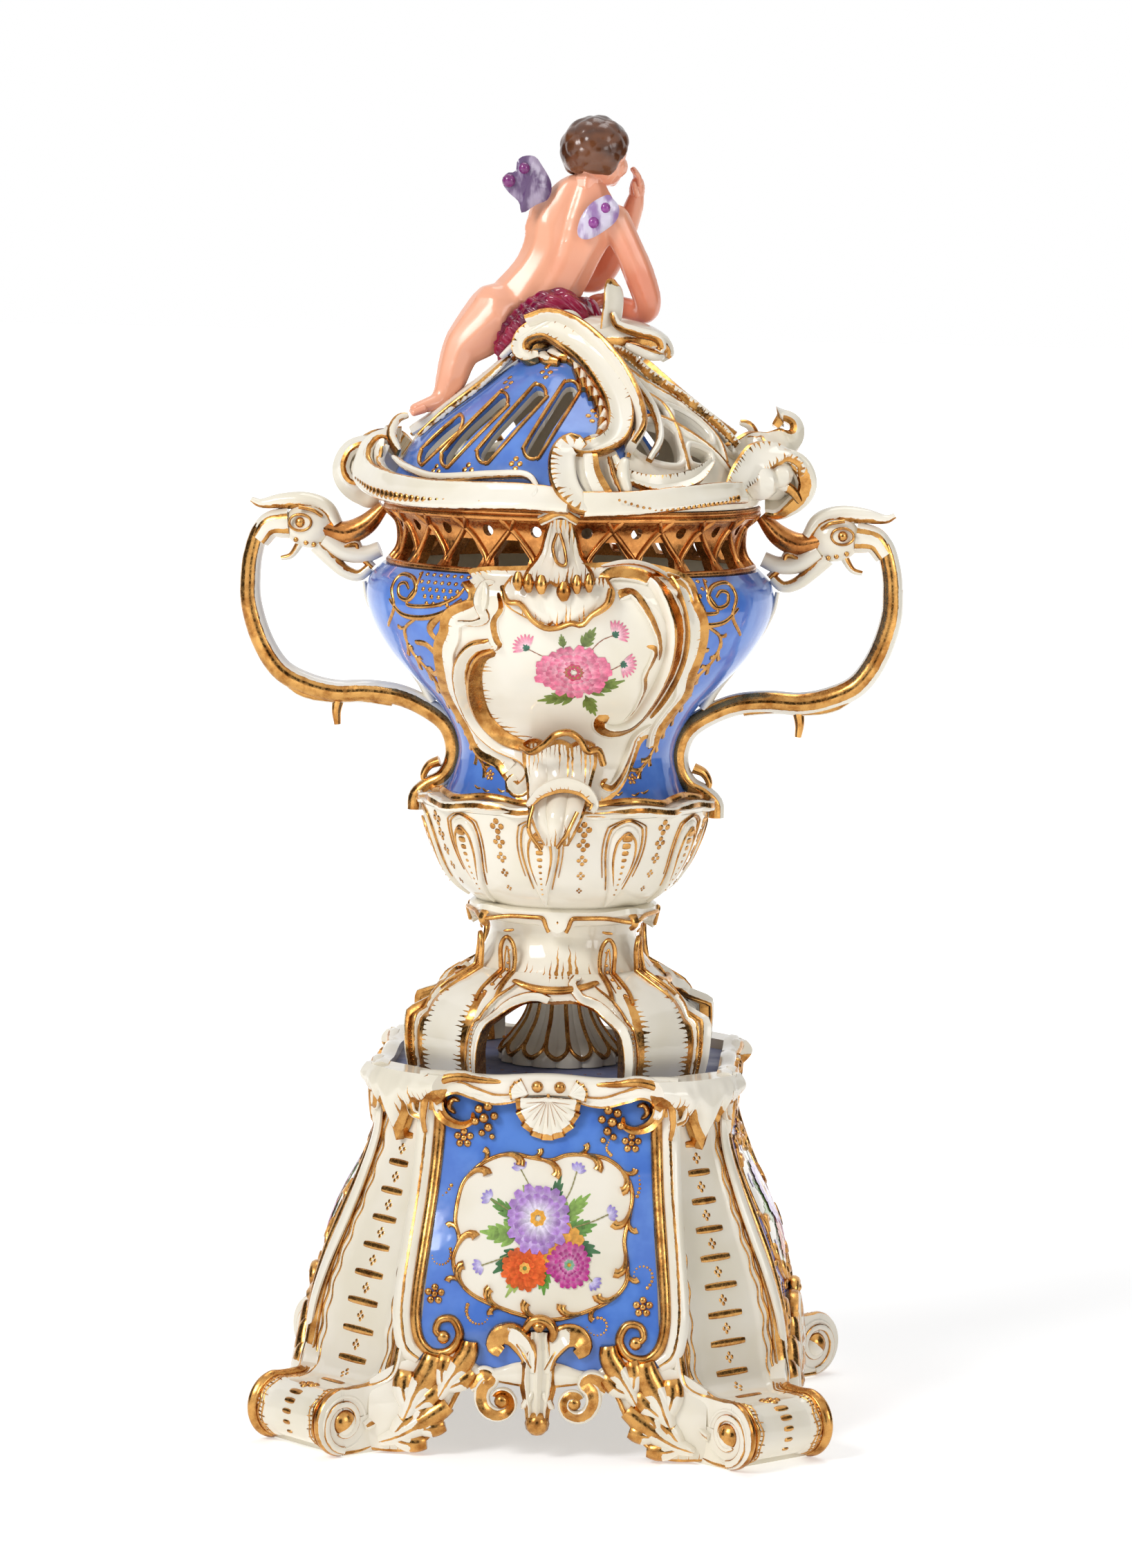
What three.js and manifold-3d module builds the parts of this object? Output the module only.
// A lidded porcelain urn on its square stand, with a cherub leaning on the pierced lid.
// Millimetres, +Z up, origin on the floor under the middle of the stand. The front faces -Y.
// Each mesh is one moulded piece, as it was before the pieces were stuck together with slip.
// Three things come apart by hand: the stand, the urn that stands on it, and the lid.
import * as THREE from "three";
import { mergeVertices } from "three/addons/utils/BufferGeometryUtils.js";
import Module from "manifold-3d";

// Joint line between two moulded pieces
const GAP = 0.3;

// Facets: round a wide turned piece, round a rod, and along a curve of an outline
const ROUND = 24;
const SIDES = 6;
const CURVE = 2;

// Stand: heights above the floor
const PANEL_BOTTOM = 34;
const PANEL_TOP = 121;
const CONSOLE_BOTTOM = 18;
const PLATE_THICKNESS = 3.9;
const RIM_RISE = 8;

// Stand: distance of a side panel's face from the axis, by height
const PANEL_FACE = [
  [34, 83.5], [45, 83], [58, 81.4], [67, 79.6], [78, 75], [92, 67.6], [105, 62.4], [121, 59.5],
];
// Stand: distance of a corner console's face from the axis along the diagonal, by height
const CONSOLE_REACH = [
  [18, 97], [25, 94.2], [35, 92.7], [47, 90.5], [60, 87], [75, 81.7], [88.5, 77.3], [105, 72.9], [121, 71.8],
];
// Stand: half the width of a corner console, by height
const CONSOLE_HALF = [
  [18, 24.2], [25, 25.4], [35, 25.8], [47, 25.4], [60, 23.3], [75, 20.2], [88.5, 17.2], [105, 14.6],
  [121, 14.2],
];
const STAND_WALL = 5;
const CONSOLE_THICKNESS = 10;
const CONSOLE_ROLL = 1.6;
const FRAME_SET_BACK = 1.5;
const PANEL_TUCK = 2;

// Stand: scroll feet
const FOOT_REACH = 112.7;
const FOOT_ROLL = 11.5;
const FOOT_HALF = 19.5;
const FOOT_HEEL = 84;
const FOOT_EYE = 5.2;

// Stand: ornament that stands proud of the panels
const APRON_PROUD = 2.9;
const APRON_THICKNESS = 6.4;
const APRON_HALF = 60;
const APRON_LIFT = 1.2;
const APRON_ARCH = [[24, 28], [26, 21], [29, 9], [45, APRON_LIFT]];
const APRON_VOLUTE = { across: 13, up: 19.5, radius: 7, from: 200, to: 420 };
const APRON_CREST = [[46, 0], [38.5, 3.5], [33, -3], [24, 7], [20.5, -2], [15.5, 4.5], [8.5, 3], [5, 8.3]];
const DROP_RADIUS = 4.3;
const DROP_MIDDLE = 12.3;
const RIM_PROUD = 3.2;
const RIM_HALF = 44.5;
const RIM_EDGE = 0.6;
const RIM_DIP = 1.6;
const SHELL_DROP = 15;
const SHELL_HALF = 11.5;
const GRAPES = [17.5, 22.5];
const SWAG = [31.5, 39.5];
const LEAF_PROUD = 5.4;
const LEAF_DROP = 13.5;
const LEAF_HALF = 19;
const LEAF_LINE = [[0, 0], [0.3, 0.37], [0.62, 0.36], [0.8, 0.8]];
const LEAF_WRAP = 6;
const PLATE_INSET = 1.5;
const PLATE_HALF = PANEL_FACE[PANEL_FACE.length - 1][1] - PLATE_INSET;
const CORNER_INSET = 6.1;
const PLATE_CORNER = CONSOLE_REACH[CONSOLE_REACH.length - 1][1] - CORNER_INSET;

// Urn: height of each piece, from the legs up
const LEG_HEIGHT = 34;
const STEM_HEIGHT = 20.5;
const COLLAR_HEIGHT = 6.2;
const BOWL_HEIGHT = 33.7;
const LEDGE_HEIGHT = 4.2;
const BODY_HEIGHT = 79.7;
const GALLERY_HEIGHT = 22.2;
const URN_WALL = 4;

// Urn: outlines as [radius, share of the piece's height]
const LEG_LINE = [[54, 0], [54.4, 0.22], [52.8, 0.53], [50, 0.72], [45, 0.87], [38, 0.96], [31, 1]];
const STEM_LINE = [[36, 0], [31.6, 0.24], [27.8, 0.51], [25.8, 0.8], [26.6, 1]];
const BOWL_LINE = [[31, 0], [38.2, 0.166], [43, 0.374], [46.6, 0.61], [49.4, 0.85], [51, 1]];
const BODY_LINE = [
  [42.5, 0], [40, 0.07], [38.2, 0.17], [40, 0.27], [45.6, 0.38], [55, 0.5], [63.6, 0.62], [69.6, 0.75],
  [71.8, 0.855], [70.8, 0.94], [66.4, 1],
];
const WAIST = 0.17;
const SHOULDER_FOOT = 0.62;
const GALLERY_LINE = [[64.4, 0], [61.2, 0.2], [60.3, 0.41], [61.4, 0.67], [65.4, 0.87], [65.4, 1]];

// Urn: foot
const LEG_THICKNESS = 5;
const LEG_HALF = 19.8;
const LEG_LAP = 3.5;
const STEM_HOLLOW = [[0, 7], [12, 7], [24, 4.4], [29.5, 0]];
const BOSS_LINE = [[21.5, 4], [17, 9.5], [13, 15.5], [11, 22]];
const BOSS_FOOT = 22;
const BOSS_FLUTES = 14;
const BOSS_FLUTE_DEPTH = 0.05;
const COLLAR_RADIUS = 33.5;
const COLLAR_HOOK = 12;
const COLLAR_DROP = 4;
const COLLAR_FACETS = 40;

// Urn: bowl, ledge and gallery
const GADROONS = 10;
const GADROON_SWELL = 1.1;
const LEDGE_REACH = 53.5;
const LEDGE_WAVE = 1.2;
const LEDGE_WAVES = 8;
const GALLERY_OPENINGS = 14;
const OPENING_WIDTH = 12;
const OPENING_HEIGHT = 9;
const OPENING_RISE = 0.38;

// Urn: handles, as [distance off the urn's side, share of the height from ledge to rim]
const HANDLE_LINE = [
  [40, 0.845], [45.7, 0.817], [42.6, 0.742], [44.2, 0.62], [50.3, 0.48], [54, 0.38], [49.6, 0.324],
  [39.5, 0.3], [24.4, 0.315], [13, 0.307], [8.4, 0.255], [7, 0.176], [8.1, 0.112], [13, 0.096],
  [16.2, 0.133],
];
const HANDLE_HALF = 3.8;
const HANDLE_DEPTH = 4.7;
const SPUR = { from: 7, lean: 1.4, length: 12, wide: 2.4, deep: 3 };

// Urn: a bird's head, with the middle of its skull off the gallery's foot and above it
const SKULL = [9.4, 8, 8.4];
const SKULL_OFF = 29;
const SKULL_RISE = 11.3;
// A bird's crest, upper bill, lower bill and throat, as [off the gallery's foot, above the skull's middle]
const BIRD = {
  crest: { line: [[26, 5], [36, 7.4], [45.6, 6.8]], wide: 4, high: 3, ends: [1.25, 0.25] },
  bill: { line: [[24, -1.6], [15, -2.6], [8, 2.4], [0, 8]], wide: 5.4, high: 2.8, ends: [1.1, 0.75] },
  jaw: { line: [[26, -5.6], [18, -12.6], [13, -18]], wide: 4, high: 2.8, ends: [1.2, 0.6] },
  throat: { line: [[20, -7.6], [13, -14.2], [5, -11.6]], wide: 5, high: 2.6, ends: [1.1, 0.9] },
};

// Urn: the frame of a painted reserve and the crest shell, as [across, share of the body's height]
const FRAME_LINE = [
  [16, 0.95], [32, 0.91], [42, 0.75], [38, 0.56], [28, 0.4], [17, 0.285], [11, 0.135], [4, 0.045],
];
const FRAME_TOP = [[-24, 0.95], [0, 0.9], [24, 0.95]];
const FRAME_SHELL = [[0, 0.32], [0, 0.17], [0, 0.01], [0, -0.12]];
const CREST_LINE = [[0, 1.25], [0, 1.12], [0, 1.01]];
const FRINGE_LINE = [[0, 1.03], [0, 0.9], [0, 0.81]];

// Lid: heights above the gallery's rim
const FLANGE_DEPTH = 6;
const FLANGE_CLEARANCE = 0.8;
const LID_WALL = 4;
const DOME_HEIGHT = 57;
const CANOPY_BOTTOM = 0.44 * DOME_HEIGHT;
const DOME_LINE = [
  [66, 0], [66.4, 0.07], [62.6, 0.165], [58.2, 0.305], [51.6, 0.44], [42.4, 0.572], [31.6, 0.72],
  [21.6, 0.85], [12, 0.958],
];
const SLOTS = 4;
const SLOT_WIDTH = 5.4;
const SLOT_LENGTH = 27;
const SLOT_PITCH = 12;
const SLOT_STEP = 4;
const SLOT_SLANT = -38;
const SLOT_LEAN = 62;
const SLOT_TURN = -18;
const WINDOW = 9;
const WINDOW_LEAN = -40;
const WINDOWS = [[36, 0.52], [38, 0.3], [58, 0.4], [72, 0.58], [80, 0.35]];
const EDGE_PROUD = 1.5;
const EDGE_HALF = 6.6;
const EDGE_DEPTH = 5;
const EDGE_LOBE = 11;
const EDGE_SCROLLS = { left: [-2, -179], right: [2, 179] };
const EDGE_POINTS = 14;
const FOLD_LINE = [[0, 0.43], [2, 0.25], [5, 0.05]];
const FOLD = { raise: 3.4, wide: 9, thick: 5 };
const RIDGE_TOP = [[-20, -12, -1], [-12, -17, 6], [-1, -20, 5], [9, -29, -7]];
const RIDGE_FRONT = [[23, 0.66], [18, 0.46], [8, 0.34], [-4, 0.3]];

// Figure: [across, back, up] from the dome's top, and [share of the length, radius] rows
const TORSO = {
  line: [[-20, 3, 11], [-8, 2, 25], [1, 3, 37], [4, 5, 47], [5, 6, 56]],
  size: [[0, 12], [0.3, 11.6], [0.62, 14.4], [0.8, 11], [1, 5.2]],
};
const SEAT = { at: [-22, 3, 12], size: [13, 12, 12] };
const SHOULDERS = [[-11, 3, 42], [15, 4, 41]];
const SHOULDER = [6, 6.4, 6];
const HAIR_BALL = { at: [6, 5, 66.6], size: [12.6, 12.6, 12] };
const FACE_BALL = { at: [9, 11, 62], size: [8.6, 9, 8.6] };
const ARM_RIGHT = {
  line: [[17, 4, 42], [23, 5, 28], [27, 9, 13], [20, 18, 12], [9, 20, 14]],
  size: [[0, 5.4], [0.35, 5.2], [0.55, 5], [0.8, 4], [1, 3.4]],
};
const ARM_LEFT = {
  line: [[-13, 6, 42], [-8, 20, 31], [6, 27, 20], [14, 24, 36], [17, 17, 53]],
  size: [[0, 5.4], [0.3, 5], [0.5, 4.8], [0.75, 4], [1, 3.4]],
};
const LEG_LEFT = {
  line: [[-26, 1, 11], [-37, -4, 1], [-43, -8, -10], [-46, -10, -21], [-54, -12, -27]],
  size: [[0, 11], [0.3, 9.6], [0.52, 6.8], [0.8, 4.6], [1, 3.6]],
};
const LEG_RIGHT = {
  line: [[-20, 8, 9], [-14, 20, -1], [-14, 30, -9], [-28, 34, -15]],
  size: [[0, 10], [0.4, 8], [0.7, 6], [1, 3.6]],
};
const DRAPE = {
  line: [[-24, -9, -3], [-15, -12, 7], [-3, -11, 13], [6, -6, 9], [8, 4, 3]],
  size: [[0, 3], [0.35, 6.4], [0.7, 6.4], [1, 5]],
};
const DRAPE_BALL = { at: [-4, 2, 1], size: [13, 11, 8] };
const SUMMIT = {
  line: [[-18, -4, -3], [-4, -8, 0], [12, -2, 1], [24, 8, 1], [30, 12, -5]],
  size: [[0, 4], [0.4, 7], [0.75, 6], [1, 3.4]],
};
const TAB = { line: [[13, -6, 1], [14, -9, 11], [13.6, -8, 21]], wide: 5, thick: 2.4 };
const WING_THICKNESS = 2.2;
const WING_SPREAD = {
  line: [[0, 0], [-8, 2], [-13, 7], [-16, 14], [-12, 19], [-7, 21], [-1, 20], [3, 12], [6, 5]],
  at: [-8, -8, 41], turn: -8,
};
const WING_FOLDED = {
  line: [[0, 0], [5, 1], [10, 6], [12, 12], [8, 16], [3, 13], [-1, 8]],
  at: [2, -9, 34], turn: 24,
};

const QUARTERS = ["front", "right", "back", "left"];
const CORNERS = ["front_left", "front_right", "back_right", "back_left"];
const DIAGONAL = -3 * Math.PI / 4;

const WHITE = { color: 0xefece2, roughness: 0.12, metalness: 0 };
const BLUE = { color: 0x4d74cf, roughness: 0.14, metalness: 0 };
const GILT = { color: 0xb87a38, roughness: 0.25, metalness: 0.9 };
const FLESH = { color: 0xf0a888, roughness: 0.16, metalness: 0 };
const HAIR = { color: 0x5a3018, roughness: 0.2, metalness: 0 };
const CRIMSON = { color: 0x8c1238, roughness: 0.14, metalness: 0 };
const LILAC = { color: 0xb9a4cf, roughness: 0.16, metalness: 0 };

const wasm = await Module();
wasm.setup();

const vector = (x, y, z) => new THREE.Vector3(x, y, z);
const { clamp, lerp, degToRad: radians } = THREE.MathUtils;

/** A smooth function through [position, value] rows. */
function through(rows) {
  const last = rows.length - 1;
  const slope = (i) => {
    const [a, b] = [rows[Math.max(i - 1, 0)], rows[Math.min(i + 1, last)]];
    return (b[1] - a[1]) / (b[0] - a[0]);
  };
  return (at) => {
    const where = clamp(at, rows[0][0], rows[last][0]);
    const next = rows.findIndex((row) => row[0] > where);
    const i = next < 0 ? last - 1 : next - 1;
    const span = rows[i + 1][0] - rows[i][0];
    const t = (where - rows[i][0]) / span;
    const eased = t * t * (3 - 2 * t);
    const bend = slope(i) * t * (1 - t) * (1 - t) - slope(i + 1) * t * t * (1 - t);
    return lerp(rows[i][1], rows[i + 1][1], eased) + span * bend;
  };
}

/** Moves every vertex of a geometry with a function of its place. */
function warp(geometry, move) {
  const place = geometry.getAttribute("position");
  for (let i = 0; i < place.count; i++) {
    const to = move(place.getX(i), place.getY(i), place.getZ(i));
    place.setXYZ(i, to.x, to.y, to.z);
  }
  return geometry;
}

/** A closed geometry as a solid for joining and cutting, whichever way its faces wind. */
function solid(geometry) {
  const bare = geometry.clone();
  bare.deleteAttribute("normal");
  bare.deleteAttribute("uv");
  const merged = mergeVertices(bare, 1e-3);
  const make = (triVerts) => new wasm.Manifold(
    new wasm.Mesh({ numProp: 3, vertProperties: merged.attributes.position.array, triVerts }),
  );
  const corners = new Uint32Array(merged.index.array);
  const made = make(corners);
  if (made.volume() > 0) return made;
  for (let i = 0; i < corners.length; i += 3) {
    [corners[i + 1], corners[i + 2]] = [corners[i + 2], corners[i + 1]];
  }
  return make(corners);
}

/** Joins solids into one. */
const join = (solids) => solids.reduce((whole, next) => whole.add(next));

/** Cuts a solid by others and keeps its largest body. */
function trim(whole, cutters) {
  const left = cutters.reduce((rest, cutter) => rest.subtract(cutter), whole);
  return left.decompose().reduce((best, body) => (body.volume() > best.volume() ? body : best));
}

/** The geometry of a solid. */
function surface(shape) {
  const mesh = shape.getMesh();
  const places = new Float32Array(mesh.numVert * 3);
  for (let i = 0; i < mesh.numVert; i++) {
    places.set(mesh.vertProperties.subarray(i * mesh.numProp, i * mesh.numProp + 3), i * 3);
  }
  const geometry = new THREE.BufferGeometry();
  geometry.setAttribute("position", new THREE.BufferAttribute(places, 3));
  geometry.setIndex(new THREE.BufferAttribute(mesh.triVerts, 1));
  return geometry;
}

/** A named mesh of a solid. */
function piece(name, shape, look) {
  const geometry = surface(shape);
  geometry.computeVertexNormals();
  const made = new THREE.Mesh(geometry, new THREE.MeshStandardMaterial(look));
  made.name = name;
  return made;
}

/** A solid turned from [radius, height] points that start and end on the axis or close on themselves. */
function turned(points, segments = ROUND) {
  const outline = points.map(([radius, height]) => new THREE.Vector2(radius, height));
  return new THREE.LatheGeometry(outline, segments).rotateX(Math.PI / 2);
}

/** A plate of an outline in [across, up], standing on edge with its face to the front at y = 0. */
function upright(outline, depth) {
  return new THREE.ExtrudeGeometry(outline, { depth, bevelEnabled: false, curveSegments: CURVE })
    .rotateX(Math.PI / 2).translate(0, depth, 0);
}

/** A rod along points. Its section gives [across, out] from the share of the length and the angle round. */
function rod(points, up, section, { sides = SIDES, steps = 12, grow = 0 } = {}) {
  const line = new THREE.CatmullRomCurve3(points.map((p) => vector(...p)));
  return solid(warp(new THREE.CylinderGeometry(1, 1, 1, sides, steps), (x, y, z) => {
    const share = clamp(y + 0.5, 0, 1);
    const ahead = line.getTangentAt(share);
    const centre = line.getPointAt(share).addScaledVector(ahead, 2 * y * grow);
    const side = ahead.clone().cross(up(centre)).normalize();
    const out = side.clone().cross(ahead);
    const [across, lift] = section(share, Math.atan2(z, x));
    const skin = side.multiplyScalar(across).addScaledVector(out, lift);
    return centre.addScaledVector(skin.setLength(skin.length() + grow), Math.hypot(x, z));
  }));
}

const skyward = () => vector(0, 0, 1);
const frontward = () => vector(0, -1, 0);
const outward = (p) => vector(p.x, p.y, 0).normalize();

/** An oval section whose size follows the share of the length. */
const oval = (wide, high, size = () => 1) => (share, angle) => [
  wide * size(share) * Math.cos(angle), high * size(share) * Math.sin(angle),
];

/** Full in the middle and thinner at both ends. */
const tapered = (end) => (share) => (
  lerp(end, 1, Math.sqrt(Math.sin(Math.PI * clamp(share, 0.02, 0.98))))
);

/** A round rod along a line, whose radius follows [share, radius] rows. */
function limb({ line, size }, grow = 0, steps = 8) {
  return rod(line, frontward, oval(1, 1, through(size)), { steps, grow });
}

/** A ball, stretched along each axis. */
function ball({ at, size }, grow = 0) {
  return solid(new THREE.SphereGeometry(1, 8, 6).rotateX(Math.PI / 2)
    .scale(...size.map((radius) => radius + grow)).translate(...at));
}

/** The right half of an outline, mirrored into a whole one. */
function mirrored(half) {
  const right = half.getPoints(CURVE);
  const left = right.slice(1, -1).reverse().map((p) => new THREE.Vector2(-p.x, p.y));
  return new THREE.Shape([...right, ...left]);
}

const panelFace = through(PANEL_FACE);
const consoleReach = through(CONSOLE_REACH);
const consoleHalf = through(CONSOLE_HALF);
const frameFace = (height) => Math.SQRT1_2 * (consoleReach(height) + consoleHalf(height)) - FRAME_SET_BACK;
const consoleEdge = (height) => Math.SQRT1_2 * (consoleReach(height) - consoleHalf(height));

/** A bowed side panel, facing the front. */
function panelShape(grow = 0, angle = 0) {
  return solid(warp(new THREE.BoxGeometry(2, 1, 1, 4, 1, 7), (x, y, z) => {
    const height = lerp(PANEL_BOTTOM - grow, PANEL_TOP + grow, z + 0.5);
    const bow = (panelFace(height) - frameFace(height)) * (1 - x * x);
    const depth = (0.5 + y) * (STAND_WALL + 2 * grow);
    return vector(x * (consoleEdge(height) + PANEL_TUCK), depth - frameFace(height) - bow - grow, height);
  }).rotateZ(angle));
}

/** A corner console: a curved strap with a roll along each edge. */
function consoleShape(grow = 0, angle = DIAGONAL) {
  return solid(warp(new THREE.BoxGeometry(1, 2, 1, 1, 6, 9), (x, y, z) => {
    const height = lerp(CONSOLE_BOTTOM - grow, PANEL_TOP + grow, z + 0.5);
    const roll = CONSOLE_ROLL * clamp(Math.abs(y) * 6 - 4, 0, 1);
    const face = consoleReach(height) - CONSOLE_ROLL + roll + grow;
    const inside = consoleReach(height) - CONSOLE_THICKNESS - grow;
    return vector(x > 0 ? face : inside, y * (consoleHalf(height) + grow), height);
  }).rotateZ(angle));
}

/** A foot rolled outwards into a scroll, with a ball in the eye of each end. */
function footShape(grow = 0, angle = DIAGONAL) {
  const top = CONSOLE_BOTTOM - GAP + grow;
  const back = 2 * FOOT_ROLL - 1.5 + grow;
  const side = new THREE.Shape();
  side.moveTo(FOOT_HEEL - grow, -grow);
  side.lineTo(FOOT_REACH, -grow);
  side.absarc(FOOT_REACH, FOOT_ROLL, FOOT_ROLL + grow, -Math.PI / 2, Math.PI / 2, false);
  side.lineTo(FOOT_REACH - FOOT_ROLL / 2, back);
  side.lineTo(consoleReach(CONSOLE_BOTTOM) + 2 + grow, Math.min(top, back));
  side.lineTo(FOOT_HEEL - grow, Math.min(top, back));
  const long = 2 * (FOOT_HALF + grow);
  const options = { depth: long, bevelEnabled: false, curveSegments: 2 * CURVE };
  const roll = new THREE.ExtrudeGeometry(side, options).rotateX(Math.PI / 2).translate(0, long / 2, 0);
  const eyes = [-1, 1].map((end) => new THREE.SphereGeometry(FOOT_EYE + grow, 8, 6)
    .translate(FOOT_REACH, end * (FOOT_HALF + grow - 1), FOOT_ROLL));
  return join([roll, ...eyes].map((part) => solid(part.rotateZ(angle))));
}

/** The pendant ornament, scrolls and leaves that close the bottom of a side. */
function apronShape(cutters) {
  const { across, up, radius, from, to } = APRON_VOLUTE;
  const [[bendX, bendZ], [springX, springZ], [archX, archZ], [floorX, floorZ]] = APRON_ARCH;
  const [crownX, crownZ] = APRON_CREST[APRON_CREST.length - 1];
  const half = new THREE.Shape();
  half.moveTo(0, DROP_MIDDLE - DROP_RADIUS);
  half.absarc(0, DROP_MIDDLE, DROP_RADIUS, -Math.PI / 2, radians(50), false);
  half.lineTo(0.8 * DROP_RADIUS, DROP_MIDDLE + DROP_RADIUS);
  half.absarc(across, up, radius, radians(from), radians(to), false);
  half.quadraticCurveTo(bendX, bendZ, springX, springZ);
  half.quadraticCurveTo(archX, archZ, floorX, floorZ);
  half.lineTo(APRON_HALF, APRON_LIFT);
  half.lineTo(APRON_HALF, PANEL_BOTTOM);
  APRON_CREST.forEach(([x, rise]) => half.lineTo(x, PANEL_BOTTOM + rise));
  half.absarc(0, PANEL_BOTTOM + crownZ, crownX, 0, Math.PI / 2, false);
  const face = panelFace(PANEL_BOTTOM) + APRON_PROUD;
  return trim(solid(upright(mirrored(half), APRON_THICKNESS).translate(0, -face, 0)), cutters);
}

/** One side of the raised rim, with its hanging shell and scrolls. */
function rimShape(grow = 0, angle = 0) {
  const rest = PANEL_TOP + GAP - grow;
  const crest = PANEL_TOP + RIM_RISE + grow;
  const fringe = PANEL_TOP - RIM_DIP;
  const half = new THREE.Shape();
  half.moveTo(0, PANEL_TOP - SHELL_DROP - grow);
  half.quadraticCurveTo(0.8 * SHELL_HALF, PANEL_TOP - SHELL_DROP, SHELL_HALF, PANEL_TOP - SHELL_DROP / 2);
  half.lineTo(SHELL_HALF + 1, fringe);
  half.quadraticCurveTo(GRAPES[0], PANEL_TOP - 1.4 * SHELL_DROP, GRAPES[1], fringe);
  half.quadraticCurveTo(SWAG[0], PANEL_TOP - SHELL_DROP, SWAG[1], fringe);
  half.lineTo(RIM_HALF + grow, rest);
  half.lineTo(RIM_HALF + grow, crest - RIM_EDGE);
  half.quadraticCurveTo(RIM_HALF / 2, crest - RIM_DIP, 0, crest);
  return solid(warp(upright(mirrored(half), 1), (x, y, z) => {
    const outer = panelFace(z) + RIM_PROUD + grow;
    return vector(x, y < 0.5 ? -outer : -(PLATE_HALF + GAP - grow), z);
  }).rotateZ(angle));
}

/** The leaf that wraps a corner of the rim. */
function leafShape(cutters) {
  const half = new THREE.Shape();
  const top = PANEL_TOP + RIM_RISE - 1;
  LEAF_LINE.forEach(([wide, up], i) => {
    half[i ? "lineTo" : "moveTo"](wide * LEAF_HALF, PANEL_TOP - (1 - up) * LEAF_DROP);
  });
  half.lineTo(LEAF_HALF, PANEL_TOP + GAP);
  half.lineTo(LEAF_HALF, top);
  half.lineTo(0, top);
  const bent = warp(upright(mirrored(half), 1), (x, y, z) => {
    const bow = LEAF_WRAP * clamp(Math.abs(x) / LEAF_HALF, 0, 1) ** 2;
    return vector(y < 0.5 ? consoleReach(z) + LEAF_PROUD - bow : PLATE_CORNER + GAP, x, z);
  });
  return trim(solid(bent.rotateZ(DIAGONAL)), cutters);
}

/** The plate that the urn stands on, a square with cut corners. */
function plateShape() {
  const cut = Math.SQRT2 * PLATE_CORNER - PLATE_HALF;
  const half = new THREE.Shape();
  half.moveTo(0, -PLATE_HALF);
  [[cut, -PLATE_HALF], [PLATE_HALF, -cut], [PLATE_HALF, cut], [cut, PLATE_HALF], [0, PLATE_HALF]]
    .forEach(([x, y]) => half.lineTo(x, y));
  const plate = new THREE.ExtrudeGeometry(mirrored(half), { depth: PLATE_THICKNESS, bevelEnabled: false });
  return solid(plate.translate(0, 0, PANEL_TOP + GAP));
}

function buildStand() {
  const stand = new THREE.Group();
  const near = [DIAGONAL, DIAGONAL + Math.PI / 2];
  const consoles = near.map((angle) => consoleShape(GAP, angle));
  const feet = near.map((angle) => footShape(GAP, angle));
  const panels = [0, -Math.PI / 2].map((angle) => panelShape(GAP, angle));
  const rims = [0, -Math.PI / 2].map((angle) => rimShape(GAP, angle));
  const shapes = {
    panel: [trim(panelShape(), consoles), BLUE],
    apron: [apronShape([panels[0], ...consoles, ...feet]), WHITE],
    rim: [trim(rimShape(), [panels[0], ...consoles]), WHITE],
    console: [consoleShape(), WHITE],
    scroll_foot: [footShape(), WHITE],
    corner_leaf: [leafShape([consoles[0], ...panels, ...rims]), WHITE],
  };
  QUARTERS.forEach((side, i) => {
    const quarter = new THREE.Group();
    quarter.rotation.z = i * Math.PI / 2;
    Object.entries(shapes).forEach(([name, [shape, look]], j) => {
      quarter.add(piece(`${name}_${j < 3 ? side : CORNERS[i]}`, shape, look));
    });
    stand.add(quarter);
  });
  stand.add(piece("top_plate", plateShape(), BLUE));
  return stand;
}

const SKIRT_BOTTOM = LEG_HEIGHT - LEG_LAP;
const COLLAR_BOTTOM = SKIRT_BOTTOM + STEM_HEIGHT + GAP;
const BOWL_BOTTOM = COLLAR_BOTTOM + COLLAR_HEIGHT + GAP;
const LEDGE_BOTTOM = BOWL_BOTTOM + BOWL_HEIGHT + GAP;
const BODY_BOTTOM = LEDGE_BOTTOM + LEDGE_HEIGHT + GAP;
const GALLERY_BOTTOM = BODY_BOTTOM + BODY_HEIGHT + GAP;
const URN_TOP = GALLERY_BOTTOM + GALLERY_HEIGHT;

/** Points up an outline of [radius, share] rows between two shares, moved outwards. */
function along(line, height, bottom, steps, out = 0, from = line[0][1], to = line[line.length - 1][1]) {
  const radius = through(line.map(([r, share]) => [share, r]));
  return Array.from({ length: steps + 1 }, (_, i) => {
    const share = lerp(from, to, i / steps);
    return [radius(share) + out, bottom + share * height];
  });
}

/** The radius of an outline at a height. */
function radiusOf(line, height, bottom) {
  const radius = through(line.map(([r, share]) => [share, r]));
  return (z) => radius((z - bottom) / height);
}

const bowlRadius = radiusOf(BOWL_LINE, BOWL_HEIGHT, BOWL_BOTTOM);
const bodyRadius = radiusOf(BODY_LINE, BODY_HEIGHT, BODY_BOTTOM);
const galleryRadius = radiusOf(GALLERY_LINE, GALLERY_HEIGHT, GALLERY_BOTTOM);

/** The radius of the urn's side at any height from the bowl up. */
function sideRadius(z) {
  if (z > GALLERY_BOTTOM) return galleryRadius(z);
  if (z > BODY_BOTTOM) return bodyRadius(z);
  return z > LEDGE_BOTTOM ? LEDGE_REACH : bowlRadius(z);
}

/** The waisted stem over the arches of the legs, hollowed from below. */
function stemShape(grow = 0) {
  const stem = along(STEM_LINE, STEM_HEIGHT, SKIRT_BOTTOM, 6, grow);
  stem[0][1] -= grow;
  const hollow = STEM_HOLLOW.map(([r, z]) => [Math.max(r - grow, 0), z + SKIRT_BOTTOM - grow]);
  return solid(turned([...hollow, ...stem, [0, SKIRT_BOTTOM + STEM_HEIGHT]]));
}

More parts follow.
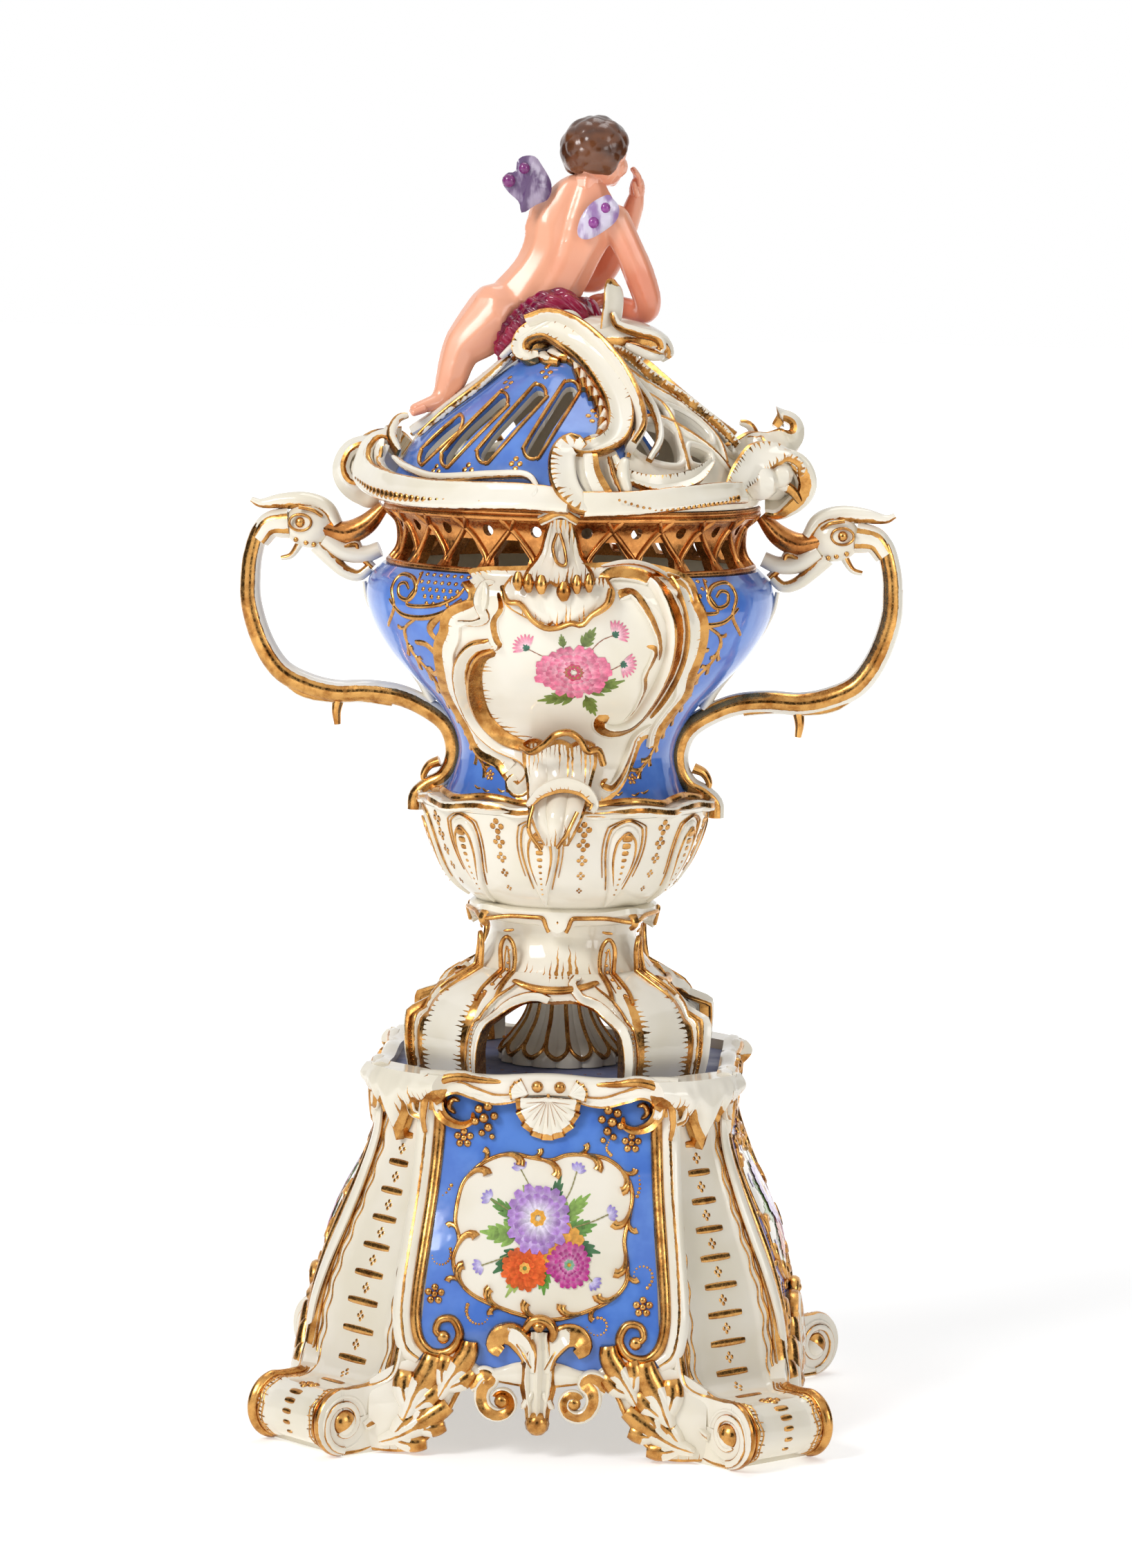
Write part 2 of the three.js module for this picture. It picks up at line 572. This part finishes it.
/** A broad leg that curves out and down from the stem. */
function legShape(cutters) {
  const half = through([[0, 1], [0.4, 0.95], [0.7, 0.78], [1, 0.55]]);
  const line = LEG_LINE.map(([reach, share]) => [reach - LEG_THICKNESS / 2, 0, share * LEG_HEIGHT]);
  const flat = (share, angle) => {
    const corner = Math.max(Math.abs(Math.cos(angle)), Math.abs(Math.sin(angle)));
    return [LEG_HALF * half(share) * Math.cos(angle) / corner, LEG_THICKNESS / 2 * Math.sin(angle) / corner];
  };
  const strap = surface(rod(line, () => vector(1, 0, 0.7), flat, { steps: 9 })).rotateZ(DIAGONAL);
  const floor = new THREE.BoxGeometry(4 * LEG_LINE[0][0], 4 * LEG_LINE[0][0], LEG_HEIGHT);
  return trim(solid(strap), [...cutters, solid(floor.translate(0, 0, -LEG_HEIGHT / 2))]);
}

/** The fluted boss under the middle of the urn. */
function bossShape() {
  const top = SKIRT_BOTTOM + STEM_HOLLOW[0][1] - GAP;
  const neck = BOSS_LINE[BOSS_LINE.length - 1][0];
  const line = [[0, 0], [BOSS_FOOT, 0], ...BOSS_LINE, [neck, top], [0, top]];
  return solid(warp(turned(line, BOSS_FLUTES * 2), (x, y, z) => {
    const valley = 1 - Math.abs(Math.cos(Math.atan2(y, x) * BOSS_FLUTES / 2));
    const deep = 1 - BOSS_FLUTE_DEPTH * valley * clamp(1.4 - z / BOSS_LINE[2][1], 0, 1);
    return vector(x * deep, y * deep, z);
  }));
}

/** The collar between stem and bowl, with a hook at each corner and a drop on each side. */
function collarShape() {
  const line = [
    [0, 0], [STEM_LINE[4][0], 0],
    [COLLAR_RADIUS, 0.25 * COLLAR_HEIGHT], [COLLAR_RADIUS, 0.75 * COLLAR_HEIGHT],
    [BOWL_LINE[0][0], COLLAR_HEIGHT], [0, COLLAR_HEIGHT],
  ];
  return solid(warp(turned(line, COLLAR_FACETS), (x, y, z) => {
    const angle = Math.atan2(y, x);
    const rim = Math.hypot(x, y) > COLLAR_RADIUS - 0.5 ? 1 : 0;
    const hook = Math.abs(Math.sin(2 * angle)) ** 12;
    const drop = Math.abs(Math.cos(2 * angle)) ** 20;
    const stretch = 1 + rim * COLLAR_HOOK * hook / COLLAR_RADIUS;
    const lower = z < COLLAR_HEIGHT / 2 ? rim * COLLAR_DROP * drop : 0;
    return vector(x * stretch, y * stretch, z - lower + COLLAR_BOTTOM);
  }));
}

/** A gadrooned bowl. */
function bowlShape() {
  const outer = along(BOWL_LINE, BOWL_HEIGHT, BOWL_BOTTOM, 5);
  const inner = along(BOWL_LINE, BOWL_HEIGHT, BOWL_BOTTOM, 4, -URN_WALL).slice(1).reverse();
  const line = [[0, BOWL_BOTTOM], ...outer, ...inner, [0, BOWL_BOTTOM + URN_WALL]];
  return solid(warp(turned(line, GADROONS * 3), (x, y, z) => {
    const radius = Math.hypot(x, y);
    const skin = radius > bowlRadius(z) - URN_WALL / 2 ? 1 : 0;
    const front = Math.atan2(y, x) + Math.PI / 2;
    const rise = Math.sin(Math.PI * clamp((z - BOWL_BOTTOM) / BOWL_HEIGHT, 0, 1));
    const stretch = 1 + skin * GADROON_SWELL * Math.cos(front * GADROONS) * rise / Math.max(radius, 1);
    return vector(x * stretch, y * stretch, z);
  }));
}

/** The wavy ledge between bowl and body. */
function ledgeShape() {
  const inner = BODY_LINE[0][0] - URN_WALL;
  const outer = BOWL_LINE[BOWL_LINE.length - 1][0];
  const ring = [
    [inner, 0], [outer, 0], [LEDGE_REACH, LEDGE_HEIGHT / 2], [BODY_LINE[0][0] + 1, LEDGE_HEIGHT],
    [inner, LEDGE_HEIGHT], [inner, 0],
  ];
  return solid(warp(turned(ring, 4 * LEDGE_WAVES), (x, y, z) => {
    const radius = Math.hypot(x, y);
    const wave = radius > LEDGE_REACH - 1 ? LEDGE_WAVE * Math.cos(LEDGE_WAVES * Math.atan2(y, x)) : 0;
    return vector(x * (1 + wave / radius), y * (1 + wave / radius), z + LEDGE_BOTTOM);
  }));
}

/** A ring of the body between two shares of its height, open at both ends. */
function bodyShape(from, to, steps) {
  const outer = along(BODY_LINE, BODY_HEIGHT, BODY_BOTTOM, steps, 0, from, to);
  const inner = along(BODY_LINE, BODY_HEIGHT, BODY_BOTTOM, steps - 1, -URN_WALL, from, to).reverse();
  return solid(turned([...outer, ...inner, outer[0]]));
}

/** The urn from the bowl up, filled and a gap larger, to cut what stands on it. */
function urnCutter() {
  const bowl = along(BOWL_LINE, BOWL_HEIGHT, BOWL_BOTTOM, 5, GAP + GADROON_SWELL);
  const ledge = LEDGE_REACH + LEDGE_WAVE + 1.5 * GAP;
  const body = along(BODY_LINE, BODY_HEIGHT, BODY_BOTTOM, 11, 1.5 * GAP);
  const gallery = along(GALLERY_LINE, GALLERY_HEIGHT, GALLERY_BOTTOM, 5, 1.5 * GAP);
  return solid(turned([
    [0, bowl[0][1]], ...bowl.slice(0, -1),
    [ledge, LEDGE_BOTTOM - GAP], [ledge, LEDGE_BOTTOM + LEDGE_HEIGHT / 2],
    [BODY_LINE[0][0] + 2, BODY_BOTTOM + GAP], ...body.slice(1), ...gallery, [0, URN_TOP],
  ], 2 * ROUND));
}

/** The pierced gallery under the lid. */
function galleryShape() {
  const outer = along(GALLERY_LINE, GALLERY_HEIGHT, GALLERY_BOTTOM, 5);
  const inner = along(GALLERY_LINE, GALLERY_HEIGHT, GALLERY_BOTTOM, 3, -URN_WALL).reverse();
  const ring = solid(turned([...outer, ...inner, outer[0]], 2 * GALLERY_OPENINGS));
  const middle = GALLERY_BOTTOM + OPENING_RISE * GALLERY_HEIGHT;
  const lozenge = new THREE.Shape();
  lozenge.moveTo(-OPENING_WIDTH / 2, 0);
  lozenge.lineTo(-OPENING_WIDTH / 4, -OPENING_HEIGHT / 2);
  lozenge.lineTo(OPENING_WIDTH / 4, -OPENING_HEIGHT / 2);
  lozenge.lineTo(OPENING_WIDTH / 2, 0);
  lozenge.lineTo(0, OPENING_HEIGHT / 2);
  const cutters = Array.from({ length: GALLERY_OPENINGS }, (_, i) => solid(
    upright(lozenge, 6 * URN_WALL).translate(0, -GALLERY_LINE[0][0] - 3 * URN_WALL, middle)
      .rotateZ((i + 0.5) * 2 * Math.PI / GALLERY_OPENINGS),
  ));
  return trim(ring, cutters);
}

/** The point of a handle at a distance off the urn's side, at a share of the height from ledge to rim. */
function offSide([off, share]) {
  const z = lerp(LEDGE_BOTTOM, URN_TOP, share);
  return [sideRadius(z) + off, 0, z];
}

/** A swept handle, built on the right. */
function handleShape(cutters = [], grow = 0) {
  const size = oval(HANDLE_HALF, HANDLE_DEPTH, tapered(0.55));
  const loop = rod(HANDLE_LINE.map(offSide), frontward, size, { steps: 22, grow });
  const [x, , z] = offSide(HANDLE_LINE[SPUR.from]);
  const spur = rod(
    [[x, 0, z], [x + SPUR.lean, 0, z - SPUR.length / 2], [x + SPUR.lean, 0, z - SPUR.length]], frontward,
    oval(SPUR.wide, SPUR.deep, (share) => lerp(1.2, 0.6, share)), { steps: 2, grow },
  );
  return trim(join([loop, spur]), cutters);
}

/** A crested bird's head whose bill holds the gallery, built on the right. */
function headShape(cutters) {
  const side = galleryRadius(GALLERY_BOTTOM);
  const middle = GALLERY_BOTTOM + SKULL_RISE;
  const horns = Object.values(BIRD).map(({ line, wide, high, ends }) => rod(
    line.map(([off, up]) => [side + off, 0, middle + up]), skyward,
    oval(wide, high, (share) => lerp(...ends, share)), { steps: 3 },
  ));
  return trim(join([ball({ at: [side + SKULL_OFF, 0, middle], size: SKULL }), ...horns]), cutters);
}

/** A point on the front of the urn: across, share of the body's height, raised off the skin. */
function onUrn([across, share], raise = 0) {
  const z = BODY_BOTTOM + share * BODY_HEIGHT;
  const radius = sideRadius(z) + raise;
  return [radius * Math.sin(across / radius), -radius * Math.cos(across / radius), z];
}

/** A moulding laid along a line on the urn's front, rising off it by a step at each point. */
function onFront(line, raise, step, section, options) {
  return rod(line.map((p, i) => onUrn(p, raise + step * i)), outward, section, options);
}

/** The scrolled frame round the painted reserve, with a shell at its foot and one over the gallery. */
function cartoucheShape(cutters) {
  const curls = [-1, 1].map((hand) => onFront(
    FRAME_LINE.map(([across, share]) => [hand * across, share]), 0.6, 0, oval(5.6, 3.4, tapered(0.5)),
    { sides: 5, steps: 9 },
  ));
  return trim(join([
    ...curls,
    onFront(FRAME_SHELL, 1, 1, oval(13, 4.6, tapered(0.45)), { steps: 6 }),
    onFront(FRAME_TOP, 0.4, 0, oval(4.4, 3, tapered(0.6)), { sides: 5, steps: 4 }),
    onFront(CREST_LINE, 1.6, 0, oval(8.4, 4, (share) => lerp(0.62, 1.32, share)), { steps: 4 }),
    onFront(FRINGE_LINE, 2, 0, oval(13, 3.4, (share) => lerp(1.05, 0.55, share)), { steps: 4 }),
  ]), cutters);
}

/** Adds pieces twice, the second time turned by half a turn. */
function addPair(group, pieces) {
  [0, 1].forEach((i) => {
    const half = new THREE.Group();
    half.rotation.z = i * Math.PI;
    pieces.forEach(([names, shape, look]) => half.add(piece(names[i], shape, look)));
    group.add(half);
  });
}

function buildUrn() {
  const urn = new THREE.Group();
  const leg = legShape([stemShape(GAP)]);
  const space = urnCutter();
  CORNERS.forEach((corner, i) => {
    const quarter = new THREE.Group();
    quarter.rotation.z = i * Math.PI / 2;
    quarter.add(piece(`leg_${corner}`, leg, WHITE));
    urn.add(quarter);
  });
  addPair(urn, [
    [["handle_right", "handle_left"], handleShape([space]), GILT],
    [["bird_head_right", "bird_head_left"], headShape([space, handleShape([], GAP)]), WHITE],
    [["cartouche_front", "cartouche_back"], cartoucheShape([space]), WHITE],
  ]);
  urn.add(
    piece("stem", stemShape(), WHITE),
    piece("fluted_boss", bossShape(), WHITE),
    piece("collar", collarShape(), WHITE),
    piece("bowl", bowlShape(), WHITE),
    piece("ledge", ledgeShape(), WHITE),
    piece("neck", bodyShape(0, WAIST, 3), BLUE),
    piece("body", bodyShape(WAIST + GAP / BODY_HEIGHT, SHOULDER_FOOT, 5), BLUE),
    piece("shoulder", bodyShape(SHOULDER_FOOT + GAP / BODY_HEIGHT, 1, 4), BLUE),
    piece("gallery", galleryShape(), GILT),
  );
  urn.position.z = PANEL_TOP + 2 * GAP + PLATE_THICKNESS;
  return urn;
}

const domeRadius = radiusOf([...DOME_LINE, [0, 1]], DOME_HEIGHT, 0);

/** A point on the dome, from an angle from the front and a share of the dome's height. */
function onDome(angle, share, raise = 0) {
  const radius = domeRadius(share * DOME_HEIGHT) + raise;
  const turn = radians(angle);
  return [radius * Math.sin(turn), -radius * Math.cos(turn), share * DOME_HEIGHT];
}

/** The slots and windows of one face of the dome. */
function domeOpenings(turn) {
  const slots = Array.from({ length: SLOTS }, (_, i) => {
    const slot = new THREE.BoxGeometry(SLOT_WIDTH, SLOT_LENGTH - SLOT_STEP * i, 6 * SLOT_WIDTH);
    slot.rotateZ(radians(SLOT_SLANT)).translate(-i * SLOT_PITCH, 0, 0).rotateX(radians(SLOT_LEAN));
    slot.translate(0, -0.75 * DOME_LINE[4][0], 0.45 * DOME_HEIGHT);
    return solid(slot.rotateZ(radians(turn + SLOT_TURN)));
  });
  const windows = WINDOWS.map(([angle, share]) => {
    const hole = new THREE.BoxGeometry(WINDOW, 3 * WINDOW, WINDOW).rotateX(radians(WINDOW_LEAN));
    const up = share * DOME_HEIGHT;
    return solid(hole.translate(0, -domeRadius(up), up).rotateZ(radians(turn + angle)));
  });
  return [...slots, ...windows];
}

/** Everything on the lid between two heights. */
function layer(from, to) {
  const wide = 6 * DOME_LINE[0][0];
  return solid(new THREE.BoxGeometry(wide, wide, to - from).translate(0, 0, (from + to) / 2));
}

/** The pierced dome and canopy in one, with the flange that drops into the gallery. */
function domeShape() {
  const flange = galleryRadius(URN_TOP - FLANGE_DEPTH) - URN_WALL - FLANGE_CLEARANCE;
  const outer = along(DOME_LINE, DOME_HEIGHT, 0, 7);
  const inner = along(DOME_LINE.slice(1), DOME_HEIGHT, -0.6 * LID_WALL, 4, -LID_WALL).reverse();
  const shell = solid(turned([
    [0, DOME_HEIGHT - LID_WALL], ...inner, [flange - LID_WALL, -FLANGE_DEPTH], [flange, -FLANGE_DEPTH],
    [flange, 0], ...outer, [0, DOME_HEIGHT],
  ]));
  return trim(shell, [...domeOpenings(0), ...domeOpenings(180)]);
}

/** The dome without its openings, a gap larger all round, to cut what stands on it. */
function domeCutter() {
  return solid(turned([[0, 0], ...along(DOME_LINE, DOME_HEIGHT, GAP, 8, GAP), [0, DOME_HEIGHT + GAP]]));
}

/** A moulding that follows the lid's edge between two angles, wider and higher in the middle. */
function edgeShape([from, to], cutters) {
  const bow = (share) => Math.sin(Math.PI * share) ** 2;
  const line = Array.from({ length: EDGE_POINTS }, (_, i) => {
    const share = i / (EDGE_POINTS - 1);
    return onDome(lerp(from, to, share), 0.11 + 0.05 * bow(share), EDGE_PROUD + EDGE_LOBE * bow(share) / 2);
  });
  const section = (share, angle) => [
    (EDGE_HALF + 2 * bow(share)) * Math.cos(angle),
    (EDGE_DEPTH + EDGE_LOBE * bow(share) / 2) * Math.sin(angle),
  ];
  return trim(rod(line, outward, section, { steps: EDGE_POINTS }), cutters);
}

/** The folded leaf in the middle of the lid's front edge. */
const foldShape = (grow = 0) => rod(
  FOLD_LINE.map(([angle, share]) => onDome(angle, share, FOLD.raise)), outward,
  oval(FOLD.wide, FOLD.thick, tapered(0.6)), { steps: 5, grow },
);

function edgePieces(dome) {
  const below = layer(-DOME_HEIGHT, 0);
  const sides = [dome, below, foldShape(GAP)];
  return [
    piece("edge_fold_front", trim(foldShape(), [dome, below]), WHITE),
    piece("edge_scroll_left", edgeShape(EDGE_SCROLLS.left, sides), WHITE),
    piece("edge_scroll_right", edgeShape(EDGE_SCROLLS.right, sides), WHITE),
  ];
}

/** Pieces over the top of the dome, as [look, shape when grown], each giving way to those before it. */
const FIGURE = {
  cherub_torso: [FLESH, (grow) => join([
    ball(SEAT, grow), limb(TORSO, grow), ...SHOULDERS.map((at) => ball({ at, size: SHOULDER }, grow)),
  ])],
  cherub_head: [HAIR, (grow) => join([ball(HAIR_BALL, grow), ball(FACE_BALL, grow)])],
  cherub_arm_right: [FLESH, (grow) => limb(ARM_RIGHT, grow, 10)],
  cherub_arm_left: [FLESH, (grow) => limb(ARM_LEFT, grow, 10)],
  cherub_leg_left: [FLESH, (grow) => limb(LEG_LEFT, grow, 10)],
  cherub_leg_right: [FLESH, (grow) => limb(LEG_RIGHT, grow)],
  drapery: [CRIMSON, (grow) => join([limb(DRAPE, grow), ball(DRAPE_BALL, grow)])],
  summit_scroll: [WHITE, (grow) => join([
    limb(SUMMIT, grow), rod(TAB.line, frontward, oval(TAB.wide, TAB.thick), { steps: 4, grow }),
  ])],
};

/** The great scroll that runs from the summit down the front of the lid. */
function ridgeShape(cutters) {
  const down = vector(0, 0, -DOME_HEIGHT);
  const front = RIDGE_FRONT.map(([angle, share]) => vector(...onDome(angle, share, 1)).add(down).toArray());
  const up = (p) => vector(p.x, p.y, 0.9 * Math.abs(p.y)).normalize();
  return trim(rod([...RIDGE_TOP, ...front], up, oval(6.4, 3.6, tapered(0.5)), { steps: 14 }), cutters);
}

/** A butterfly wing, flat to the viewer. */
function wingShape({ line, at, turn }, cutters) {
  const shape = new THREE.Shape(line.map(([x, z]) => new THREE.Vector2(x, z)));
  const wing = upright(shape, WING_THICKNESS).rotateZ(radians(turn)).translate(...at);
  return trim(solid(wing), cutters);
}

function buildFigure(dome, fold) {
  const figure = new THREE.Group();
  const names = Object.keys(FIGURE);
  const grown = names.map((name) => FIGURE[name][1](GAP));
  names.forEach((name, i) => {
    const [look, shape] = FIGURE[name];
    figure.add(piece(name, trim(shape(0), [dome, ...grown.slice(0, i)]), look));
  });
  figure.add(
    piece("ridge_scroll", ridgeShape([dome, fold, ...grown]), WHITE),
    piece("wing_left", wingShape(WING_SPREAD, grown), LILAC),
    piece("wing_right", wingShape(WING_FOLDED, grown), LILAC),
  );
  figure.position.z = DOME_HEIGHT;
  return figure;
}

function buildLid() {
  const lid = new THREE.Group();
  const cutter = domeCutter();
  const below = solid(surface(cutter).translate(0, 0, -DOME_HEIGHT));
  const fold = foldShape(GAP).translate(0, 0, -DOME_HEIGHT);
  const shell = domeShape();
  lid.add(
    piece("dome", trim(shell, [layer(CANOPY_BOTTOM, 2 * DOME_HEIGHT)]), BLUE),
    piece("canopy", trim(shell, [layer(-DOME_HEIGHT, CANOPY_BOTTOM + GAP)]), BLUE),
    buildFigure(below, fold),
    ...edgePieces(cutter),
  );
  lid.position.z = URN_TOP + GAP;
  return lid;
}

const vase = new THREE.Group();
const urn = buildUrn();
urn.add(buildLid());
vase.add(buildStand(), urn);

export default vase;
